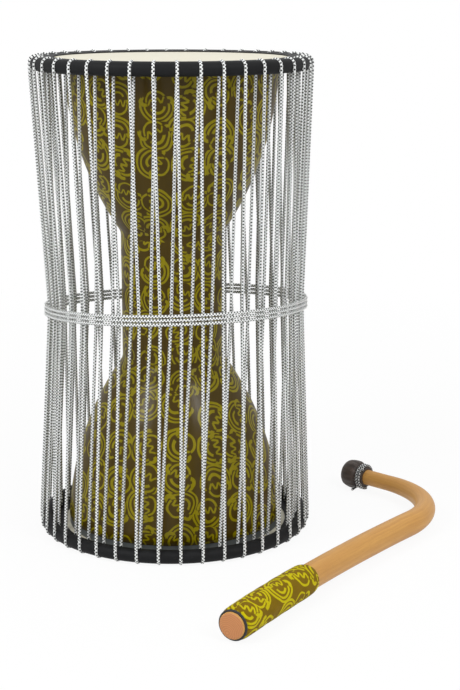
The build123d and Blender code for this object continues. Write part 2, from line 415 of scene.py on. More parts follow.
@dataclass(frozen=True)
class SatinBlack(Finish):
    """Black covering on the hoops, softly worn."""

    name: str = "hoop_black"
    colour: Colour = (0.0085, 0.0088, 0.0095)
    worn: Colour = (0.022, 0.022, 0.023)
    relief: float = 0.08 * MM
    # lumps to a metre
    pebble_lumps: float = 1400.0
    patch_lumps: float = 46.0
    scuff_lumps: float = 240.0

    def sockets(self, graph: Graph) -> Sockets:
        """Gives the surface's inputs."""
        at = graph.place()
        pebble = graph.grain(at, self.pebble_lumps, 3.0)
        patches = graph.grain(at, self.patch_lumps, 4.0)
        scuffs = graph.grain(at, self.scuff_lumps, 5.0, 0.7).above(0.66, 0.12)
        share = patches * 0.45 + scuffs * 0.35
        return {
            "Base Color": graph.blend(share, self.colour, self.worn),
            "Roughness": 0.44 + patches * 0.14 + pebble * 0.1,
            "Specular IOR Level": 0.1,
            "Normal": graph.bump(pebble, self.relief, 0.5),
        }


@dataclass(frozen=True)
class HeadFilm(Finish):
    """Cream film of the drumheads, lightly clouded like skin."""

    name: str = "head_cream"
    colour: Colour = (0.64, 0.605, 0.485)
    cloud: Colour = (0.70, 0.67, 0.55)
    edge_radius: float = 94 * MM
    edge_soft: float = 20 * MM
    relief: float = 0.06 * MM
    # lumps to a metre
    cloud_lumps: float = 26.0
    fibre_lumps: float = 900.0

    def sockets(self, graph: Graph) -> Sockets:
        """Gives the surface's inputs."""
        at = graph.place()
        clouds = graph.grain(at, self.cloud_lumps, 5.0)
        fibre = graph.grain(at, self.fibre_lumps, 2.0)
        x, y, _ = graph.parts(at)
        out = (x * x + y * y).root()
        edge = out.above(self.edge_radius, self.edge_soft) * 0.35
        colour = graph.blend(clouds, self.colour, self.cloud)
        colour = graph.blend(edge, colour, shade(self.colour, 0.82))
        return {
            "Base Color": colour,
            "Roughness": 0.44 + fibre * 0.18,
            "Normal": graph.bump(fibre * 0.7 + clouds * 0.3, self.relief, 0.5),
        }


@dataclass(frozen=True)
class SpeckledSolid(Finish):
    """A plain solid finish with a fine speckle, for bare glass fibre, steel and rubber."""

    name: str
    colour: Colour
    speck: Colour
    roughness: float
    metallic: float = 0.0
    scale: float = 700.0
    specks_to_cloud: float = 14.0
    relief: float = 0.12 * MM

    def sockets(self, graph: Graph) -> Sockets:
        """Gives the surface's inputs."""
        at = graph.place()
        specks = graph.grain(at, self.scale, 4.0)
        clouds = graph.grain(at, self.scale / self.specks_to_cloud, 3.0)
        return {
            "Base Color": graph.blend(specks * 0.6 + clouds * 0.4, self.colour, self.speck),
            "Roughness": self.roughness + (specks - 0.5) * 0.2,
            "Metallic": self.metallic,
            "Normal": graph.bump(specks, self.relief, 0.4),
        }


@dataclass(frozen=True)
class StickWood(Finish):
    """Clear-finished light hardwood, its grain running with the bent stick."""

    name: str = "stick_wood"
    pale: Colour = (0.64, 0.345, 0.090)
    mid: Colour = (0.48, 0.230, 0.058)
    dark: Colour = (0.30, 0.125, 0.038)
    relief: float = 0.10 * MM

    def sockets(self, graph: Graph) -> Sockets:
        """Gives the surface's inputs, which read a map of metres around and along the stick."""
        around, along, _ = graph.parts(graph.uv())
        drift = graph.grain(graph.vector(around * 6.0, along * 5.0), 6.0, 2.0)
        streak = graph.grain(graph.vector(around * 30.0 + drift * 0.1, along * 0.5), 12.0, 4.0)
        fine = graph.grain(graph.vector(around * 90.0, along * 2.2), 30.0, 3.0)
        pores = graph.grain(graph.vector(around * 160.0, along * 9.0), 26.0, 2.0).above(0.67, 0.06)
        bands = graph.grain(graph.vector(around * 4.0, along * 2.4), 9.0, 3.0)
        colour = graph.blend(streak.above(0.5, 0.55), self.pale, self.mid)
        colour = graph.blend(bands.above(0.6, 0.3) * 0.5, colour, self.mid)
        colour = graph.blend(fine.above(0.6, 0.3) * 0.3, colour, shade(self.mid, 0.8))
        colour = graph.blend(pores * 0.45, colour, self.dark)
        height = fine * 0.5 + (1 - pores) * 0.5
        return {
            "Base Color": colour,
            "Roughness": 0.40 + fine * 0.16,
            "Specular IOR Level": 0.25,
            "Coat Weight": 0.06 + streak * 0.06,
            "Coat Roughness": 0.3,
            "Normal": graph.bump(height, self.relief, 0.5),
        }


@dataclass(frozen=True)
class EndGrain(Finish):
    """The sawn end of the stick, redder, with growth rings about its heart."""

    centre: Vector
    name: str = "stick_end_grain"
    pale: Colour = (0.56, 0.24, 0.085)
    dark: Colour = (0.40, 0.145, 0.045)
    heart: Vector = Vector((4 * MM, 0, 6 * MM))
    ring_pitch: float = 1.5 * MM
    ring_bend: float = 1.6 * MM
    relief: float = 0.08 * MM
    # lumps to a metre
    bend_lumps: float = 220.0
    pore_lumps: float = 2600.0

    def sockets(self, graph: Graph) -> Sockets:
        """Gives the surface's inputs."""
        shift = {"Vector": graph.place(), "Location": tuple(self.heart - self.centre)}
        at = graph.add("ShaderNodeMapping", {"vector_type": "POINT"}, shift)
        x, y, z = graph.parts(at)
        bend = graph.grain(at, self.bend_lumps, 3.0)
        out = (x * x + y * y + z * z).root() + bend * self.ring_bend
        rings = (out * (TAU / self.ring_pitch)).sin() * 0.5 + 0.5
        pores = graph.grain(at, self.pore_lumps, 2.0)
        return {
            "Base Color": graph.blend(rings * 0.55 + pores * 0.35, self.pale, self.dark),
            "Roughness": 0.42 + pores * 0.2,
            "Normal": graph.bump(pores, self.relief, 0.5),
        }


@dataclass(frozen=True)
class CapLeather(Finish):
    """Dark brown leather gathered over the beater's tip."""

    name: str = "cap_leather"
    colour: Colour = (0.020, 0.012, 0.0085)
    rubbed: Colour = (0.085, 0.050, 0.032)
    relief: float = 0.5 * MM
    # lumps to a metre
    grain_lumps: float = 1500.0
    rub_lumps: float = 320.0

    def sockets(self, graph: Graph) -> Sockets:
        """Gives the surface's inputs, which read a map of turns around and metres along."""
        at = graph.place()
        around, along, _ = graph.parts(graph.uv())
        grain = graph.add("ShaderNodeTexVoronoi", None, {"Vector": at, "Scale": self.grain_lumps})
        folds = graph.grain(graph.vector(around * 22.0, along * 40.0), 1.0, 4.0)
        rub = graph.grain(at, self.rub_lumps, 4.0)
        share = folds.above(0.55, 0.4) * 0.5 + rub.above(0.6, 0.3) * 0.25
        height = folds * 0.75 + grain * 0.25
        return {
            "Base Color": graph.blend(share, self.colour, self.rubbed),
            "Roughness": 0.46 + rub * 0.22,
            "Normal": graph.bump(height, self.relief, 0.7),
        }


@dataclass(frozen=True)
class BlackEdging(Finish):
    """Black cotton edging, finely ribbed."""

    name: str = "black_edging"
    colour: Colour = (0.008, 0.008, 0.009)
    rib: Colour = (0.035, 0.035, 0.037)
    relief: float = 0.12 * MM
    rib_lumps: float = 2200.0

    def sockets(self, graph: Graph) -> Sockets:
        """Gives the surface's inputs."""
        rib = graph.grain(graph.place(), self.rib_lumps, 2.0)
        return {
            "Base Color": graph.blend(rib * 0.6, self.colour, self.rib),
            "Roughness": 0.62 + rib * 0.2,
            "Normal": graph.bump(rib, self.relief, 0.6),
        }


@dataclass
class Tube:
    """A tube grown ring by ring along a path, with a map of turns around and lengths along it."""

    radius: float
    sides: int
    mesh: bmesh.types.BMesh = field(default_factory=bmesh.new)
    last: list[Any] = field(default_factory=list)

    def start(self, at: Vector, way: Vector, first_side: Vector) -> Tube:
        """Sets the first ring.

        Args:
            at: Its centre.
            way: The way that the tube leaves it.
            first_side: The way of the ring's first corner, square to that.

        Returns:
            This tube.
        """
        ahead, side = way.normalized(), first_side.normalized()
        turn = Matrix((side, ahead.cross(side), ahead)).transposed().to_4x4()
        layer = self.mesh.verts.layers.float.new("around")
        self.mesh.verts.layers.float.new("along")
        made = bmesh.ops.create_circle(
            self.mesh, segments=self.sides, radius=self.radius, matrix=Matrix.Translation(at) @ turn
        )
        ring = made["verts"]
        for vert in ring:
            away = turn.inverted() @ (vert.co - at)
            vert[layer] = math.atan2(away.y, away.x) / TAU % 1.0
        self.last = ring + list({edge for vert in ring for edge in vert.link_edges})
        return self

    def _spin(self, steps: int, **how: Any) -> Tube:
        """Grows the tube by a spin of its last ring."""
        made = bmesh.ops.spin(self.mesh, geom=self.last, steps=steps, **how)
        self.last = made["geom_last"]
        return self

    def run(self, way: Vector, steps: int) -> Tube:
        """Grows the tube straight along a way, by so many rings."""
        return self._spin(steps, cent=(0, 0, 0), axis=UP, angle=0, dvec=way / steps)

    def turn(self, centre: Vector, axis: Vector, angle: float, steps: int, rise: float = 0.0) -> Tube:
        """Grows the tube round an axis through a centre, by so many rings, while it rises along it."""
        climb = axis.normalized() * (rise / steps)
        return self._spin(steps, cent=centre, axis=axis, angle=angle, dvec=climb)

    def rings(self) -> Iterator[tuple[int, Vector, list[bmesh.types.BMVert]]]:
        """Gives each ring's number from the start, its centre and its corners."""
        verts = list(self.mesh.verts)
        for number in range(len(verts) // self.sides):
            ring = verts[number * self.sides : (number + 1) * self.sides]
            yield number, sum((v.co for v in ring), Vector()) / self.sides, ring

    def shape(self, share: Callable[[int, float], float]) -> Tube:
        """Sets how thick the tube is at each corner.

        Args:
            share: Gives the share of the tube's radius from a ring's number and a corner's turn.

        Returns:
            This tube.
        """
        layer = self.mesh.verts.layers.float["around"]
        for number, centre, ring in self.rings():
            for vert in ring:
                vert.co = centre + (vert.co - centre) * share(number, vert[layer])
        return self

    def mapped(self, around: float, along: float | None = None) -> Tube:
        """Gives the tube its UV map.

        Args:
            around: What a whole turn counts on the map.
            along: What a ring counts on the map, or None for its length in metres.

        Returns:
            This tube.
        """
        layer = self.mesh.verts.layers.float["around"]
        reach = self.mesh.verts.layers.float["along"]
        done, before = 0.0, None
        for number, centre, ring in self.rings():
            done += (centre - before).length if before else 0.0
            before = centre
            for vert in ring:
                vert[reach] = done if along is None else number * along
        flat = self.mesh.loops.layers.uv.new("UVMap")
        for face in self.mesh.faces:
            turns = [loop.vert[layer] for loop in face.loops]
            crosses = max(turns) - min(turns) > 0.5
            for loop, turned in zip(face.loops, turns):
                whole = turned + 1.0 if crosses and turned < 0.5 else turned
                loop[flat].uv = (whole * around, loop.vert[reach])
        return self

    def closed(self) -> bmesh.types.BMesh:
        """Closes the ends and gives the mesh."""
        ends = [edge for edge in self.mesh.edges if edge.is_boundary]
        bmesh.ops.holes_fill(self.mesh, edges=ends, sides=self.sides)
        return self.outward()

    def outward(self) -> bmesh.types.BMesh:
        """Turns the faces outwards and gives the mesh."""
        bmesh.ops.recalc_face_normals(self.mesh, faces=list(self.mesh.faces))
        return self.mesh


@dataclass(frozen=True)
class Cord:
    """A braided cord's gauge, and the beaded tubes made of it."""

    radius: float = 1.5 * MM
    bead: float = 2.7 * MM
    sides: int = 8
    relief: float = 0.20
    tuck_rings: int = 4
    tuck_share: float = 0.76

    def tube(self) -> Tube:
        """Gives an empty tube of this cord."""
        return Tube(self.radius, self.sides)

    def steps(self, length: float) -> int:
        """Gives the rings that a length takes, two to a bead."""
        return 2 * max(1, round(length / self.bead))

    def beaded(self, tube: Tube, tucked: bool = False) -> bmesh.types.BMesh:
        """Finishes a tube of this cord with its beads in relief.

        Args:
            tube: The tube, grown to its length.
            tucked: Whether its first end is thinner, to go inside another piece of the cord.

        Returns:
            The finished mesh.
        """

        def share(number: int, around: float) -> float:
            sign = 1 if number % 2 == 0 else -1
            bead = 1 - self.relief * (1 - sign * math.sin(2 * TAU * around)) / 2
            if tucked and number < self.tuck_rings:
                bead *= self.tuck_share + (1 - self.tuck_share) * number / self.tuck_rings
            return bead

        return tube.shape(share).mapped(1.0, 0.5).closed()

    def add_tail(
        self, mesh: bmesh.types.BMesh, start: Vector, hang: Vector, side: Vector, length: float
    ) -> None:
        """Adds a straight loose end of this cord to a mesh.

        Args:
            mesh: The mesh that grows.
            start: Where the end leaves it.
            hang: Which way the end goes.
            side: The way of its first corner, square to that.
            length: How long it is.
        """
        tail = self.tube().start(start, hang, side).run(hang * length, self.steps(length))
        carrier = pattern_of("carrier", self.beaded(tail))
        mesh.from_mesh(carrier)
        bpy.data.meshes.remove(carrier)


def add_object(name: str, data: Any) -> bpy.types.Object:
    """Puts mesh, lamp or camera data into the scene as an object of a name."""
    made = bpy.data.objects.new(name, data)
    bpy.context.scene.collection.objects.link(made)
    return made


def pattern_of(name: str, mesh: bmesh.types.BMesh) -> bpy.types.Mesh:
    """Turns a mesh under construction into mesh data of a name, and frees it."""
    made = bpy.data.meshes.new(name)
    mesh.to_mesh(made)
    mesh.free()
    return made


def stamp(mesh: bmesh.types.BMesh, pattern: bpy.types.Mesh, place: Matrix) -> None:
    """Adds a copy of a pattern to a mesh.

    Args:
        mesh: The mesh that grows.
        pattern: What is copied.
        place: Where the copy goes.
    """
    before = len(mesh.verts)
    mesh.from_mesh(pattern)
    mesh.verts.ensure_lookup_table()
    bmesh.ops.transform(mesh, matrix=place, verts=mesh.verts[before:])


def revolve(mesh: bmesh.types.BMesh, steps: int, weld: float) -> None:
    """Turns a drawn outline once round the Z axis into a skin that faces outwards.

    Args:
        mesh: The mesh, with the outline alone in it.
        steps: How many steps the turn has.
        weld: How near the corners are that become one.
    """
    outline = list(mesh.verts) + list(mesh.edges)
    bmesh.ops.spin(mesh, geom=outline, cent=(0, 0, 0), axis=UP, angle=TAU, steps=steps, use_merge=True)
    bmesh.ops.remove_doubles(mesh, verts=list(mesh.verts), dist=weld)
    bmesh.ops.recalc_face_normals(mesh, faces=list(mesh.faces))


def keep_above_ground(mesh: bmesh.types.BMesh) -> None:
    """Raises what lies under the plane that the drum stands on."""
    for vert in mesh.verts:
        vert.co.z = max(vert.co.z, 0.0)


@dataclass
class Piece:
    """One visible piece of the object, and the packed nodes that it stands for."""

    name: str
    body: str
    slot: str
    nodes: tuple[str, ...]

    def make(self, mesh: bmesh.types.BMesh, *finishes: bpy.types.Material) -> bpy.types.Object:
        """Makes the piece's object.

        Args:
            mesh: Its shape, in place. It is freed.
            finishes: Its materials, by slot.

        Returns:
            The object.
        """
        data = pattern_of(self.name, mesh)
        data.polygons.foreach_set("use_smooth", [True] * len(data.polygons))
        for finish in finishes:
            data.materials.append(finish)
        made = add_object(self.name, data)
        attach(made, self.body)
        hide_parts(*self.nodes)
        log.info("%s: %d faces on %s", self.name, len(data.polygons), self.body)
        return made


def dress(material: bpy.types.Material, *nodes: str) -> None:
    """Gives packed nodes a material.

    Args:
        material: The material.
        nodes: The nodes' names.
    """
    for name in nodes:
        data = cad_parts[name].data
        data.materials.clear()
        data.materials.append(material)
        log.info("%s: dressed in %s", name, material.name)


def drum_point(radius: float, angle: float, height: float) -> Vector:
    """Gives a point by its radius, its degrees from the front towards the right and its height."""
    turn = math.radians(angle)
    return Vector((radius * math.sin(turn), -radius * math.cos(turn), height))


class Zone(Enum):
    """The three cloths on the shell, with the shift of each one's print."""

    LOWER_BOWL = (0.31, 0.17)
    WAIST = (0.05, 0.83)
    UPPER_BOWL = (0.77, 0.42)


@dataclass(frozen=True)
class ShellCloth:
    """The printed and lacquered cloth on the hourglass shell."""

    offset: float = 0.45 * MM
    thickness: float = 0.4 * MM
    waist_radius: float = 45.5 * MM
    waist_low: float = 154.8 * MM
    waist_high: float = 269.8 * MM
    bottom_rim: tuple[float, float] = (96.5 * MM, 2.9 * MM)
    top_rim: tuple[float, float] = (93.0 * MM, 420.6 * MM)
    bowl_curve: float = 275.0 * MM
    neck_curve: float = 12.0 * MM
    lip: float = 6.5 * MM
    segments: int = 160
    bowl_steps: int = 30
    neck_steps: int = 6
    waist_steps: int = 16
    unevenness: float = 0.22 * MM
    uneven_scale: float = 38.0
    weld: float = 0.01 * MM
    seam_turn: float = math.pi * 0.9
    flat: tuple[float, float] = (0.62, 0.45)
    flat_area: float = 0.176

    def bowl(self, rim: tuple[float, float], neck_height: float) -> tuple[Vector, Vector, float]:
        """Finds the circles that a bowl's outline follows.

        Args:
            rim: The shell's radius and height at the bowl's rim.
            neck_height: The height where the bowl would meet the waist.

        Returns:
            The bowl's centre, the centre of its curve into the waist, and the angle between the
            bowl's radius to their meeting point and the level.
        """
        start = Vector((rim[0] + self.offset, rim[1]))
        end = Vector((self.waist_radius + self.offset, neck_height))
        chord = end - start
        across = Vector((-abs(chord.y), -abs(chord.x) if chord.y > 0 else abs(chord.x))).normalized()
        depth = math.sqrt(self.bowl_curve**2 - (chord.length / 2) ** 2)
        centre = (start + end) / 2 + across * depth
        side = end.x + self.neck_curve - centre.x
        rise = math.sqrt((self.bowl_curve + self.neck_curve) ** 2 - side**2)
        curve = Vector((end.x + self.neck_curve, centre.y + math.copysign(rise, chord.y)))
        return centre, curve, math.atan2(rise, side)

    def outline(self, mesh: bmesh.types.BMesh) -> tuple[float, float]:
        """Draws the cloth's outline at the right of the shell, from its lower edge up.

        Args:
            mesh: Where it is drawn.

        Returns:
            The heights where the waist begins and ends.
        """
        low_centre, low_curve, low_angle = self.bowl(self.bottom_rim, self.waist_low)
        high_centre, high_curve, high_angle = self.bowl(self.top_rim, self.waist_high)
        low_start = math.asin((self.bottom_rim[1] + self.lip - low_centre.y) / self.bowl_curve)
        high_end = math.asin((self.top_rim[1] - self.lip - high_centre.y) / self.bowl_curve)
        first = low_centre + Vector((math.cos(low_start), math.sin(low_start))) * self.bowl_curve
        last: list[Any] = [mesh.verts.new((first.x, 0, first.y))]
        arcs = (
            (low_centre, -1, low_angle - low_start, self.bowl_steps),
            (low_curve, 1, low_angle, self.neck_steps),
            (None, 0, high_curve.y - low_curve.y, self.waist_steps),
            (high_curve, 1, high_angle, self.neck_steps),
            (high_centre, -1, high_end + high_angle, self.bowl_steps),
        )
        for centre, way, reach, steps in arcs:
            if centre is None:
                how = {"cent": (0, 0, 0), "axis": UP, "angle": 0, "dvec": UP * (reach / steps)}
            else:
                middle = (centre.x, 0, centre.y)
                how = {"cent": middle, "axis": (0, way, 0), "angle": reach, "dvec": (0, 0, 0)}
            last = bmesh.ops.spin(mesh, geom=last, steps=steps, **how)["geom_last"]
        return low_curve.y, high_curve.y

    def build(self, finish: bpy.types.Material) -> bpy.types.Object:
        """Makes the cloth.

        Args:
            finish: Its material.

        Returns:
            Its object.
        """
        mesh = bmesh.new()
        low, high = self.outline(mesh)
        reach = mesh.verts.layers.float.new("reach")
        chain = list(mesh.verts)
        done = 0.0
        for before, vert in zip(chain, chain[1:]):
            done += (vert.co - before.co).length * 2 / (vert.co.x + before.co.x)
            vert[reach] = done
        marks = [(v.co.z, v.co.x, v[reach]) for v in chain]
        to_back = Matrix.Rotation(QUARTER_TURN, 3, "Z")
        bmesh.ops.rotate(mesh, cent=(0, 0, 0), matrix=to_back, verts=chain)
        revolve(mesh, self.segments, self.weld)
        for vert in mesh.verts:
            out = Vector((vert.co.x, vert.co.y, 0)).normalized()
            vert.co += out * (noise.noise(vert.co * self.uneven_scale) * self.unevenness)
        self.print_map(mesh, marks, low, high)
        made = Piece("shell_cloth_skin", "drum", "printed_cloth", ("shell_cloth",)).make(mesh, finish)
        wall = made.modifiers.new("wall", "SOLIDIFY")
        wall.thickness = self.thickness
        wall.offset = -1.0
        return made

    def print_map(
        self, mesh: bmesh.types.BMesh, marks: list[tuple[float, float, float]], low: float, high: float
    ) -> None:
        """Lays the cloths flat for their print, as a band and two fans, each with its seam at the back.

        Args:
            mesh: The cloth.
            marks: The outline's heights, radii and reaches.
            low: Where the waist begins.
            high: Where the waist ends.
        """
        reach = mesh.verts.layers.float["reach"]
        flat = mesh.loops.layers.uv.new("UVMap")
        necks = {
            Zone.LOWER_BOWL: min(marks, key=lambda m: abs(m[0] - low)),
            Zone.UPPER_BOWL: min(marks, key=lambda m: abs(m[0] - high)),
        }
        rims = {Zone.LOWER_BOWL: marks[0], Zone.UPPER_BOWL: marks[-1]}
        for face in mesh.faces:
            middle = face.calc_center_median()
            zone = Zone.WAIST if low < middle.z < high else Zone.UPPER_BOWL
            zone = Zone.LOWER_BOWL if middle.z <= low else zone
            for loop in face.loops:
                at = loop.vert.co
                turn = math.atan2(at.x, -at.y)
                if abs(turn) > self.seam_turn:
                    turn = math.copysign(abs(turn), middle.x)
                if zone is Zone.WAIST:
                    place = (turn * self.waist_radius, at.z)
                else:
                    _, neck_radius, neck_reach = necks[zone]
                    _, rim_radius, rim_reach = rims[zone]
                    fan = math.log(rim_radius / neck_radius) / abs(rim_reach - neck_reach)
                    out = neck_radius / fan * math.exp(fan * abs(loop.vert[reach] - neck_reach))
                    place = (out * math.sin(fan * turn), out * math.cos(fan * turn))
                loop[flat].uv = (place[0] + zone.value[0], place[1] + zone.value[1])


class Half(Enum):
    """The two halves of the lacing, with the way from each hoop into the drum."""

    UPPER = -1
    LOWER = 1


@dataclass(frozen=True)
class Lacing:
    """The lacing over both hoops, its belt at the waist and the belt's knot."""

    cord: Cord = Cord()
    loops: int = 40
    front_turn: float = 4.3
    hoop_edge: tuple[float, float] = (422.6 * MM, 0.9 * MM)
    hoop_width: float = 11.4 * MM
    hoop_depth: float = 12.0 * MM
    hoop_middle: float = 116.5 * MM
    loop_radius: float = 5.6 * MM
    leg_run: float = 0.4 * MM
    strand_gap: float = 0.6 * MM
    tuck: float = 4.2 * MM
    belt_height: float = 203.1 * MM
    side_slope: float = math.tan(math.radians(1.1))
    front_slope: float = math.tan(math.radians(4.7))
    belt_shift: float = 2.5 * MM
    drawn_outer: float = 112.8 * MM
    drawn_inner: float = 108.5 * MM
    belt_radius: float = 116.25 * MM
    belt_turns: int = 3
    belt_pitch: float = 3.5 * MM
    belt_keep: float = 0.82
    band_edges: tuple[float, ...] = (17.0, 37.0, 57.0, 75.0)
    knot_out: float = 4.3 * MM
    knot_radius: float = 2.5 * MM
    knot_turns: int = 3
    knot_pitch: float = 2.05
    tail: float = 15 * MM
    tail_apart: float = 1.1
    tail_lean: float = 0.22

    @staticmethod
    def make(
        node: str, mesh: bmesh.types.BMesh, finish: bpy.types.Material, body: str = "drum"
    ) -> bpy.types.Object:
        """Makes the cord that stands for a node and rides on a body."""
        return Piece(f"{node}_cord", body, "braided_cord", (node,)).make(mesh, finish)

    def edge(self, half: Half) -> float:
        """Gives the height of a half's hoop's outer edge."""
        return self.hoop_edge[0 if half is Half.UPPER else 1]

    def on_belt(self, radius: float, angle: float) -> Vector:
        """Gives the point on the belt's tilted plane at a radius and an angle in degrees."""
        flat = drum_point(radius, angle, 0) + Vector((self.belt_shift, 0, 0))
        flat.z = self.belt_height + flat.x * self.side_slope - flat.y * self.front_slope
        return flat

    def band(self, angle: float, half: Half) -> str:
        """Names the node that a strand's half belongs to.

        Args:
            angle: The strand's angle in degrees where it passes the belt.
            half: The half.

        Returns:
            The node's name.
        """
        from_front = (angle + 180) % 360 - 180
        off_line = abs(abs(from_front) - 90)
        for number, limit in enumerate(self.band_edges, start=1):
            if off_line < limit:
                side = "right" if from_front > 0 else "left"
                return f"{half.name.lower()}_{side}_strands_{number}"
        return "front_strands" if abs(from_front) < 90 else "back_strands"

    def strand_ends(self) -> Iterator[tuple[str, Vector, Vector]]:
        """Gives each half strand's node, its end at its hoop and its end at the belt."""
        step = 360 / self.loops
        start = self.hoop_depth + self.leg_run + self.strand_gap
        outer = (self.hoop_middle + self.loop_radius, self.drawn_outer, 0.0)
        inner = (self.hoop_middle - self.loop_radius, self.drawn_inner, step)
        for number in range(self.loops):
            foot = self.front_turn + step * number
            for radius, drawn, lean in (outer, inner):
                waist = self.on_belt(drawn, foot + lean / 2)
                for half in Half:
                    angle = foot + lean if half is Half.UPPER else foot
                    hoop_end = drum_point(radius, angle, self.edge(half) + half.value * start)
                    yield self.band(foot + lean / 2, half), hoop_end, waist

    def strand(self, beads: int, cache: dict[int, bpy.types.Mesh]) -> bpy.types.Mesh:
        """Gives a straight cord of a number of beads and of unit length, along +Z.

        Args:
            beads: How many beads.
            cache: The cords made so far.

        Returns:
            The mesh.
        """
        if beads not in cache:
            tube = self.cord.tube().start(Vector(), UP, RIGHT).run(UP, 2 * beads)
            cache[beads] = pattern_of(f"cord_{beads}", self.cord.beaded(tube, tucked=True))
        return cache[beads]

    def build_strands(self, finish: bpy.types.Material) -> None:
        """Makes the strands, a piece for each node."""
        cache: dict[int, bpy.types.Mesh] = {}
        meshes: dict[str, bmesh.types.BMesh] = {}
        for node, hoop_end, waist in self.strand_ends():
            way = (waist - hoop_end).normalized()
            start = hoop_end - way * self.tuck
            length = (waist - start).length
            turn = UP.rotation_difference(way).to_matrix().to_4x4()
            place = Matrix.Translation(start) @ turn @ Matrix.Diagonal((1, 1, length, 1))
            pattern = self.strand(round(length / self.cord.bead), cache)
            stamp(meshes.setdefault(node, bmesh.new()), pattern, place)
        for node, mesh in meshes.items():
            self.make(node, mesh, finish, "drum" if node in ("front_strands", "back_strands") else node)
        for spare in cache.values():
            bpy.data.meshes.remove(spare)

    def build_loops(self, half: Half, finish: bpy.types.Material) -> None:
        """Makes the loops over one hoop.

        Args:
            half: Which hoop.
            finish: The cord's material.
        """
        inward, edge = half.value, self.edge(half)
        bend = edge + inward * self.hoop_width / 2
        end = edge + inward * (self.hoop_depth + self.leg_run)
        leg = Vector((0, 0, bend - end))
        outer = Vector((self.hoop_middle + self.loop_radius, 0, end))
        tube = self.cord.tube().start(outer, leg, RIGHT)
        tube.run(leg, self.cord.steps(leg.length))
        over = self.cord.steps(math.pi * self.loop_radius)
        tube.turn(Vector((self.hoop_middle, 0, bend)), Vector((0, inward, 0)), math.pi, over)
        tube.run(-leg, self.cord.steps(leg.length))
        one = self.cord.beaded(tube)
        keep_above_ground(one)
        pattern = pattern_of("loop", one)
        mesh = bmesh.new()
        for number in range(self.loops):
            turn = math.radians(self.front_turn - 90 + 360 / self.loops * number)
            stamp(mesh, pattern, Matrix.Rotation(turn, 4, "Z"))
        bpy.data.meshes.remove(pattern)
        end_name = "top" if half is Half.UPPER else "bottom"
        self.make(f"{end_name}_lacing_loops", mesh, finish)

    def tilt(self) -> Matrix:
        """Gives the slope and the shift of the belt's plane."""
        tilted = Matrix.Identity(4)
        tilted[2][0], tilted[2][1] = self.side_slope, -self.front_slope
        raised = Matrix.Translation((0, 0, self.belt_height))
        return raised @ tilted @ Matrix.Translation((self.belt_shift, 0, 0))

    def build_belt(self, finish: bpy.types.Material) -> None:
        """Makes the belt round the strands, which flattens when the drum is squeezed, and its knot."""
        rise = self.belt_turns * self.belt_pitch
        back = Vector((0, self.belt_radius, -rise / 2))
        tube = self.cord.tube().start(back, -RIGHT, UP)
        angle = self.belt_turns * TAU
        tube.turn(Vector(), UP, angle, self.cord.steps(angle * self.belt_radius), rise)
        mesh = self.cord.beaded(tube)
        bmesh.ops.transform(mesh, matrix=self.tilt(), verts=list(mesh.verts))
        belt = self.make("waist_belt", mesh, finish)
        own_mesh(belt)
        self.build_knot(finish)

    def build_knot(self, finish: bpy.types.Material) -> None:
        """Makes the knot that closes the belt at the back: a short barrel of turns with two tails."""
        centre = self.on_belt(self.belt_radius + self.cord.radius + self.knot_out, 180)
        rise = self.knot_turns * self.cord.radius * self.knot_pitch
        side = Vector((self.knot_radius, 0, 0))
        low = centre - UP * (rise / 2)
        barrel = self.cord.tube().start(low + side, BACK, RIGHT)
        angle = self.knot_turns * TAU
        barrel.turn(centre, UP, angle, 2 * self.cord.steps(angle * self.knot_radius), rise)
        mesh = self.cord.beaded(barrel)
        for way in (-1, 1):
            hang = Vector((way * self.tail_lean, 0.0, -1)).normalized()
            start = low + Vector((way * self.cord.radius * self.tail_apart, 0, self.cord.radius))
            self.cord.add_tail(mesh, start, hang, BACK, self.tail)
        self.make("waist_belt_knot", mesh, finish)

    def build(self, finish: bpy.types.Material) -> None:
        """Makes the whole lacing."""
        for half in Half:
            self.build_loops(half, finish)
        self.build_strands(finish)
        self.build_belt(finish)


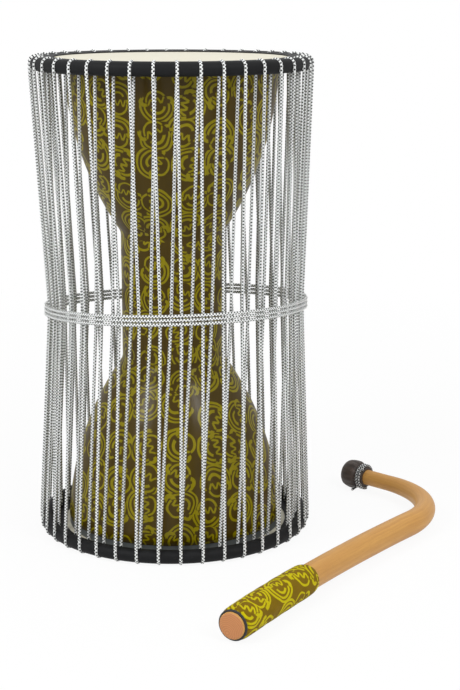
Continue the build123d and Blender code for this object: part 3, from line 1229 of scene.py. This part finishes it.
@dataclass(frozen=True)
class Beater:
    """The hooked beater, lying on its grip and its cap."""

    butt: Vector = Vector((51.7 * MM, -278.8 * MM, 13.5 * MM))
    heading: float = math.radians(59.5)
    bow_radius: float = 1794.0 * MM
    shaft: float = 279.0 * MM
    bend_radius: float = 84.0 * MM
    bend_turn: float = math.radians(85.8)
    arm: float = 53.8 * MM
    radius: float = 10.9 * MM
    arm_radius: float = 7.4 * MM
    stick_short: float = 1.7 * MM
    butt_round: float = 1.5 * MM
    butt_segments: int = 5
    stick_sides: int = 40
    stick_steps: tuple[int, int, int] = (60, 36, 18)
    waver: float = 0.008
    waver_pace: float = 0.11
    grip_start: float = 3.8 * MM
    grip_length: float = 112.0 * MM
    grip_radius: float = 13.5 * MM
    grip_seat: float = 0.05 * MM
    grip_sides: int = 56
    grip_rings: int = 64
    # how deep a fold is in shares of the grip's radius, and the rings over which it fades
    butt_fold: tuple[float, float] = (0.10, 1.3)
    end_fold: tuple[float, float] = (0.19, 2.2)
    creases: int = 5
    crease: float = 0.006
    crease_lean: float = 0.045
    rumple: float = 0.022
    rumple_pace: float = 0.16
    rumple_lumps: float = 2.2
    band_middle: float = 2.7 * MM
    band_half: float = 1.1 * MM
    band_seat: float = 0.45
    band_sides: int = 14
    band_steps: int = 56
    weld: float = 0.001 * MM
    cap_length: float = 26.5 * MM
    cap_radius: float = 13.5 * MM
    cap_neck: float = 9.6 * MM
    cap_neck_length: float = 8.0 * MM
    cap_mouth: float = 0.3 * MM
    # millimetres from the cap's mouth, with shares of the neck's and of the dome's radius
    neck_profile: tuple[tuple[float, float], ...] = (
        (0.0, 0.97), (0.6, 1.02), (2.2, 0.99), (6.4, 0.985), (7.6, 1.03),
    )  # fmt: skip
    dome_profile: tuple[tuple[float, float], ...] = (
        (9.0, 0.88), (10.6, 0.95), (13.0, 0.985), (16.0, 1.0), (19.0, 0.985),
        (21.5, 0.94), (23.3, 0.87), (24.8, 0.74), (25.8, 0.56), (26.3, 0.34),
    )  # fmt: skip
    tip_share: float = 0.12
    cap_sides: int = 72
    cap_smooth: float = 0.6
    pleats: int = 11
    pleat_wander: float = 1.3
    wander_waves: int = 3
    pleat_depth: float = 0.030
    pleat_middle: float = 9.0 * MM
    pleat_reach: float = 7.0 * MM
    lump_depth: float = 0.022
    lumps: float = 3.0
    lump_pace: float = 120.0
    least_step: float = 0.02 * MM
    tie: Cord = Cord(radius=1.3 * MM, bead=5.5 * MM)
    tie_turns: int = 2
    tie_pitch: float = 3.1 * MM
    tie_gap: float = 0.3 * MM
    tail: float = 7.0 * MM
    # each end's place up the tie, how far down it starts and how far it leans up the cap
    tails: tuple[tuple[float, float, float], ...] = ((0.85, 0.8, 0.45), (0.15, -0.75, -0.8))
    tail_from: float = 0.7
    tail_to: float = 0.5
    tail_drop: float = 0.6

    def place(self) -> Matrix:
        """Gives the beater's place: its own +Z from the butt along the shaft, its own +X up."""
        ahead = Vector((math.cos(self.heading), math.sin(self.heading), 0))
        turn = Matrix((UP, ahead.cross(UP), ahead)).transposed().to_4x4()
        return Matrix.Translation(self.butt) @ turn

    def bow_centre(self) -> Vector:
        """Gives the centre of the shaft's bow."""
        return Vector((0, self.bow_radius, 0))

    def bowed(self, length: float) -> Matrix:
        """Gives the move from the butt to a length along the bowed shaft."""
        centre = Matrix.Translation(self.bow_centre())
        return centre @ Matrix.Rotation(-length / self.bow_radius, 4, "X") @ centre.inverted()

    def arm_way(self) -> Vector:
        """Gives the way of the arm past the bend."""
        way = Vector((0, -math.sin(self.bend_turn), math.cos(self.bend_turn)))
        return self.bowed(self.shaft).to_3x3() @ way

    def bend_centre(self) -> Vector:
        """Gives the centre of the bend."""
        return self.bowed(self.shaft) @ Vector((0, -self.bend_radius, 0))

    def arm_start(self) -> Vector:
        """Gives the point where the bend ends and the arm starts."""
        away = Matrix.Rotation(self.bend_turn, 3, "X") @ Vector((0, self.bend_radius, 0))
        return self.bend_centre() + self.bowed(self.shaft).to_3x3() @ away

    def put(self, mesh: bmesh.types.BMesh) -> bmesh.types.BMesh:
        """Moves a mesh from the beater's own axes to its place, and keeps it above the surface."""
        bmesh.ops.transform(mesh, matrix=self.place(), verts=list(mesh.verts))
        keep_above_ground(mesh)
        return mesh

    def make(
        self, node: str, suffix: str, slot: str, mesh: bmesh.types.BMesh, *finishes: bpy.types.Material
    ) -> bpy.types.Object:
        """Makes the piece that stands for one of the beater's nodes, from a mesh on its own axes."""
        return Piece(f"{node}_{suffix}", "beater", slot, (node,)).make(self.put(mesh), *finishes)

    def build_stick(self, wood: bpy.types.Material, end: bpy.types.Material) -> None:
        """Makes the bent stick.

        Args:
            wood: The material of its side.
            end: The material of its sawn butt.
        """
        shaft_steps, bend_steps, arm_steps = self.stick_steps
        tube = Tube(self.radius, self.stick_sides).start(Vector(), UP, RIGHT)
        tube.turn(self.bow_centre(), -RIGHT, self.shaft / self.bow_radius, shaft_steps)
        tube.turn(self.bend_centre(), RIGHT, self.bend_turn, bend_steps)
        tube.run(self.arm_way() * (self.arm - self.stick_short), arm_steps)

        def share(number: int, turn: float) -> float:
            past = min(max(0, number - shaft_steps) / bend_steps, 1.0)
            at = Vector((number * self.waver_pace, math.cos(turn * TAU), math.sin(turn * TAU)))
            wave = noise.noise(at)
            return 1 + (self.arm_radius / self.radius - 1) * past + self.waver * wave

        mesh = tube.shape(share).mapped(TAU * self.radius).closed()
        butt = min(mesh.faces, key=lambda f: f.calc_center_median().z if len(f.verts) > 4 else 1)
        butt.material_index = 1
        bmesh.ops.bevel(
            mesh,
            geom=list(butt.edges),
            offset=self.butt_round,
            segments=self.butt_segments,
            profile=0.5,
            affect="EDGES",
            material=-1,
        )
        self.make("beater_stick", "wood", "wood", mesh, wood, end)

    def build_grip(self, finish: bpy.types.Material) -> None:
        """Makes the printed cloth round the grip, folded in at both ends and a little creased."""
        rings = self.grip_rings
        start = self.bowed(self.grip_start)
        tube = Tube(self.grip_radius, self.grip_sides)
        tube.start(start @ Vector(), start.to_3x3() @ UP, RIGHT)
        tube.turn(self.bow_centre(), -RIGHT, self.grip_length / self.bow_radius, rings)
        under = (self.radius + self.grip_seat) / self.grip_radius

        def share(number: int, turn: float) -> float:
            if number in (0, rings):
                return under
            folds = ((self.butt_fold, number), (self.end_fold, rings - number))
            folded = sum(depth * math.exp(-off / fade) for (depth, fade), off in folds)
            across = Vector((0, math.cos(turn * TAU), math.sin(turn * TAU))) * self.rumple_lumps
            rumple = noise.noise(across + RIGHT * (number * self.rumple_pace)) * self.rumple
            crease = math.sin(TAU * (self.creases * turn + number * self.crease_lean)) * self.crease
            return 1 - folded + rumple + crease

        mesh = tube.shape(share).mapped(TAU * self.grip_radius).outward()
        made = self.make("beater_grip_cloth", "wrap", "grip_cloth", mesh, finish)

    def build_band(self, finish: bpy.types.Material) -> None:
        """Makes the black edging rolled round the butt."""
        mesh = bmesh.new()
        out = self.radius + self.band_half * self.band_seat
        turn = Matrix.Translation((out, 0, 0)) @ Matrix.Rotation(QUARTER_TURN, 4, "X")
        bmesh.ops.create_circle(mesh, segments=self.band_sides, radius=self.band_half, matrix=turn)
        revolve(mesh, self.band_steps, self.weld)
        bmesh.ops.transform(mesh, matrix=self.bowed(self.band_middle), verts=list(mesh.verts))
        self.make("beater_grip_band", "edging", "black_band", mesh, finish)

    def build_cap(self, finish: bpy.types.Material) -> None:
        """Makes the leather cap, gathered in pleats under its tie and rounded over the tip."""
        neck, full, end = self.cap_neck, self.cap_radius, self.cap_length
        profile = [
            (0.0, self.arm_radius + self.cap_mouth),
            *((along * MM, neck * share) for along, share in self.neck_profile),
            *((along * MM, full * share) for along, share in self.dome_profile),
            (end, full * self.tip_share),
        ]
        way = self.arm_way()
        start = self.arm_start() + way * (self.arm - end)
        tube = Tube(full, self.cap_sides).start(start, way, RIGHT)
        for (before, _), (after, _) in zip(profile, profile[1:]):
            tube.run(way * max(after - before, self.least_step), 1)

        def share(number: int, turn: float) -> float:
            along, radius = profile[number]
            fade = math.exp(-(((along - self.pleat_middle) / self.pleat_reach) ** 2))
            wander = self.pleat_wander * math.sin(TAU * self.wander_waves * turn)
            pleat = math.cos(TAU * self.pleats * turn + wander)
            across = Vector((math.cos(TAU * turn), math.sin(TAU * turn), 0)) * self.lumps
            lump = noise.noise(across + UP * (along * self.lump_pace))
            return radius / full * (1 + self.pleat_depth * fade * pleat + self.lump_depth * lump)

        mesh = tube.shape(share).mapped(1.0).closed()
        edges = list(mesh.edges)
        bmesh.ops.subdivide_edges(mesh, edges=edges, cuts=1, smooth=self.cap_smooth, use_grid_fill=True)
        made = self.make("beater_tip_cap", "leather", "cap_leather", mesh, finish)

    def build_tie(self, finish: bpy.types.Material) -> None:
        """Makes the cord tied round the cap's neck, with its two short ends."""
        way = self.arm_way()
        side = -RIGHT
        radius = self.cap_neck + self.tie_gap + self.tie.radius
        rise = self.tie_turns * self.tie_pitch
        low = self.arm_start() + way * (self.arm - self.cap_length + (self.cap_neck_length - rise) / 2)
        sideways = way.cross(side)
        coil = self.tie.tube().start(low + side * radius, sideways, way)
        angle = self.tie_turns * TAU
        coil.turn(low, way, angle, 2 * self.tie.steps(angle * radius), rise)
        mesh = self.tie.beaded(coil)
        for share, drop, lean in self.tails:
            out = (sideways * self.tail_from + side * drop).normalized()
            start = low + way * (rise * share) + out * radius
            down = side * (self.tail_drop * drop)
            hang = (down + sideways * self.tail_to + way * lean).normalized()
            self.tie.add_tail(mesh, start, hang, hang.orthogonal(), self.tail)
        self.make("beater_tip_tie", "cord", "tie_cord", mesh, finish)

    def build(self, cord: bpy.types.Material) -> None:
        """Makes the whole beater.

        Args:
            cord: The tie's material.
        """
        butt = self.place() @ Vector()
        self.build_stick(StickWood().material(), EndGrain(butt).material())
        cloth = PrintedCloth(
            "grip_cloth", (0.190, 0.116, 0.004), (0.58, 0.50, 0.004), Coating.BARE, spacing=27 * MM
        )
        self.build_grip(cloth.material())
        self.build_band(BlackEdging().material())
        self.build_cap(CapLeather().material())
        self.build_tie(cord)


@dataclass(frozen=True)
class Lamp:
    """A square soft lamp."""

    name: str
    place: tuple[float, float, float]
    aim: tuple[float, float, float]
    size: float
    power: float

    def build(self) -> None:
        """Puts up the lamp."""
        data = bpy.data.lights.new(self.name, "AREA")
        data.size = self.size
        data.energy = self.power
        lamp = add_object(self.name, data)
        lamp.location = self.place
        lamp.rotation_euler = (Vector(self.aim) - Vector(self.place)).to_track_quat("-Z", "Y").to_euler()


@dataclass(frozen=True)
class Studio:
    """A plain white room, soft lamps and the camera."""

    camera_place: tuple[float, float, float] = (0.0508, -1.3644, 0.4823)
    camera_pitch: float = math.radians(90 - 13.085)
    lens: float = 81.04
    sensor: float = 36.0
    view_reach: float = 50.0
    floor_size: float = 12.0
    floor_cells: int = 4
    white: float = 0.86
    off_white: float = 0.8
    mottle: float = 0.05
    mottle_lumps: float = 60.0
    glow: float = 0.92
    sky: float = 0.58
    far: float = 0.75
    lamps: tuple[Lamp, ...] = (
        Lamp("left_lamp", (-1.1, -1.0, 1.25), (0, 0, 0.2), 0.55, 14.0),
        Lamp("right_lamp", (1.05, -1.1, 1.3), (0, 0, 0.2), 0.5, 11.0),
        Lamp("top_lamp", (0.1, 0.4, 1.9), (0, 0, 0.2), 1.2, 6.0),
    )

    @staticmethod
    def seen(graph: Graph) -> Value:
        """Gives a mask of what the camera sees, straight on or in gloss and glass."""
        path = graph.add("ShaderNodeLightPath")
        glossy, through = path.sibling("Is Glossy Ray"), path.sibling("Is Transmission Ray")
        return path.sibling("Is Camera Ray") | glossy | through

    def build_floor(self) -> None:
        """Lays the pale floor, which glows to meet the white room and still shows soft shadows."""
        graph = Graph("studio_floor")
        mottle = graph.grain(graph.place(), self.mottle_lumps)
        white, off_white = (self.white,) * 3, (self.off_white,) * 3
        colour = graph.blend(mottle * self.mottle, white, off_white)
        paint = graph.add("ShaderNodeBsdfDiffuse", None, {"Color": colour})
        light = graph.add("ShaderNodeEmission", None, {"Color": (1, 1, 1, 1), "Strength": 1.0})
        x, y, _ = graph.parts(graph.place())
        away = (x * x + y * y).root().above(self.far, self.far)
        share = self.seen(graph) * (away * (1 - self.glow) + self.glow)
        finish = graph.close(graph.add("ShaderNodeMixShader", None, {0: share, 1: paint, 2: light}))
        mesh = bmesh.new()
        cells = self.floor_cells
        bmesh.ops.create_grid(mesh, x_segments=cells, y_segments=cells, size=self.floor_size / 2)
        data = pattern_of("studio_floor", mesh)
        data.materials.append(finish)
        floor = add_object("studio_floor", data)
        floor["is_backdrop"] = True

    def build_room(self) -> None:
        """Lights the white room."""
        room = Graph("studio_room", room=True)
        bpy.context.scene.world = room.owner
        strength = self.seen(room) * (1 - self.sky) + self.sky
        glow = room.add("ShaderNodeBackground", None, {"Color": (1, 1, 1, 1), "Strength": strength})
        room.add("ShaderNodeOutputWorld", None, {"Surface": glow})

    def build_camera(self) -> None:
        """Sets the camera at the photograph's angle."""
        data = bpy.data.cameras.new("camera")
        data.sensor_fit = "VERTICAL"
        data.sensor_height = self.sensor
        data.lens = self.lens
        data.clip_end = self.view_reach
        camera = add_object("camera", data)
        camera.location = self.camera_place
        camera.rotation_euler = (self.camera_pitch, 0, 0)
        bpy.context.scene.camera = camera

    def build(self) -> None:
        """Sets up the studio."""
        bpy.context.scene.view_settings.view_transform = "Standard"
        self.build_floor()
        self.build_room()
        for lamp in self.lamps:
            lamp.build()
        self.build_camera()


@dataclass(frozen=True)
class PackedShapes:
    """The hoops, heads, bare shell and tip pad, whose packed shapes stay."""

    covers: tuple[str, ...] = ("top_hoop_cover", "bottom_hoop_cover")
    heads: tuple[str, ...] = ("top_head", "bottom_head")
    cores: tuple[str, ...] = ("top_hoop_core", "bottom_hoop_core")

    def dress(self) -> None:
        """Gives each packed node its finish."""
        dress(SatinBlack().material(), *self.covers)
        dress(HeadFilm().material(), *self.heads)
        fibre = SpeckledSolid("bare_fibreglass", (0.070, 0.078, 0.080), (0.11, 0.12, 0.12), 0.45)
        dress(fibre.material(), "shell")
        steel = SpeckledSolid("core_steel", (0.50, 0.50, 0.51), (0.60, 0.60, 0.61), 0.38, 1.0)
        dress(steel.material(), *self.cores)
        rubber = SpeckledSolid("pad_rubber", (0.03, 0.03, 0.03), (0.05, 0.05, 0.05), 0.7)
        dress(rubber.material(), "beater_tip_pad")


def write_sizes() -> None:
    """Writes the packed model's box and the dressed model's box."""
    boxes = {"cad": CAD_BOX, "visual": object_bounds()}
    plain = {name: [[float(x) for x in corner] for corner in box] for name, box in boxes.items()}


def main() -> None:
    """Builds the drum, the beater and the studio in order."""
    cord = BraidedCord().material()
    cloth = PrintedCloth("shell_print", (0.064, 0.039, 0.001), (0.30, 0.25, 0.001), Coating.LACQUER)
    PackedShapes().dress()
    ShellCloth().build(cloth.material())
    Lacing().build(cord)
    Beater().build(BraidedCord("tie_braid", bare_share=-0.25).material())
    Studio().build()
    write_sizes()


if __name__ == "__main__":
    main()
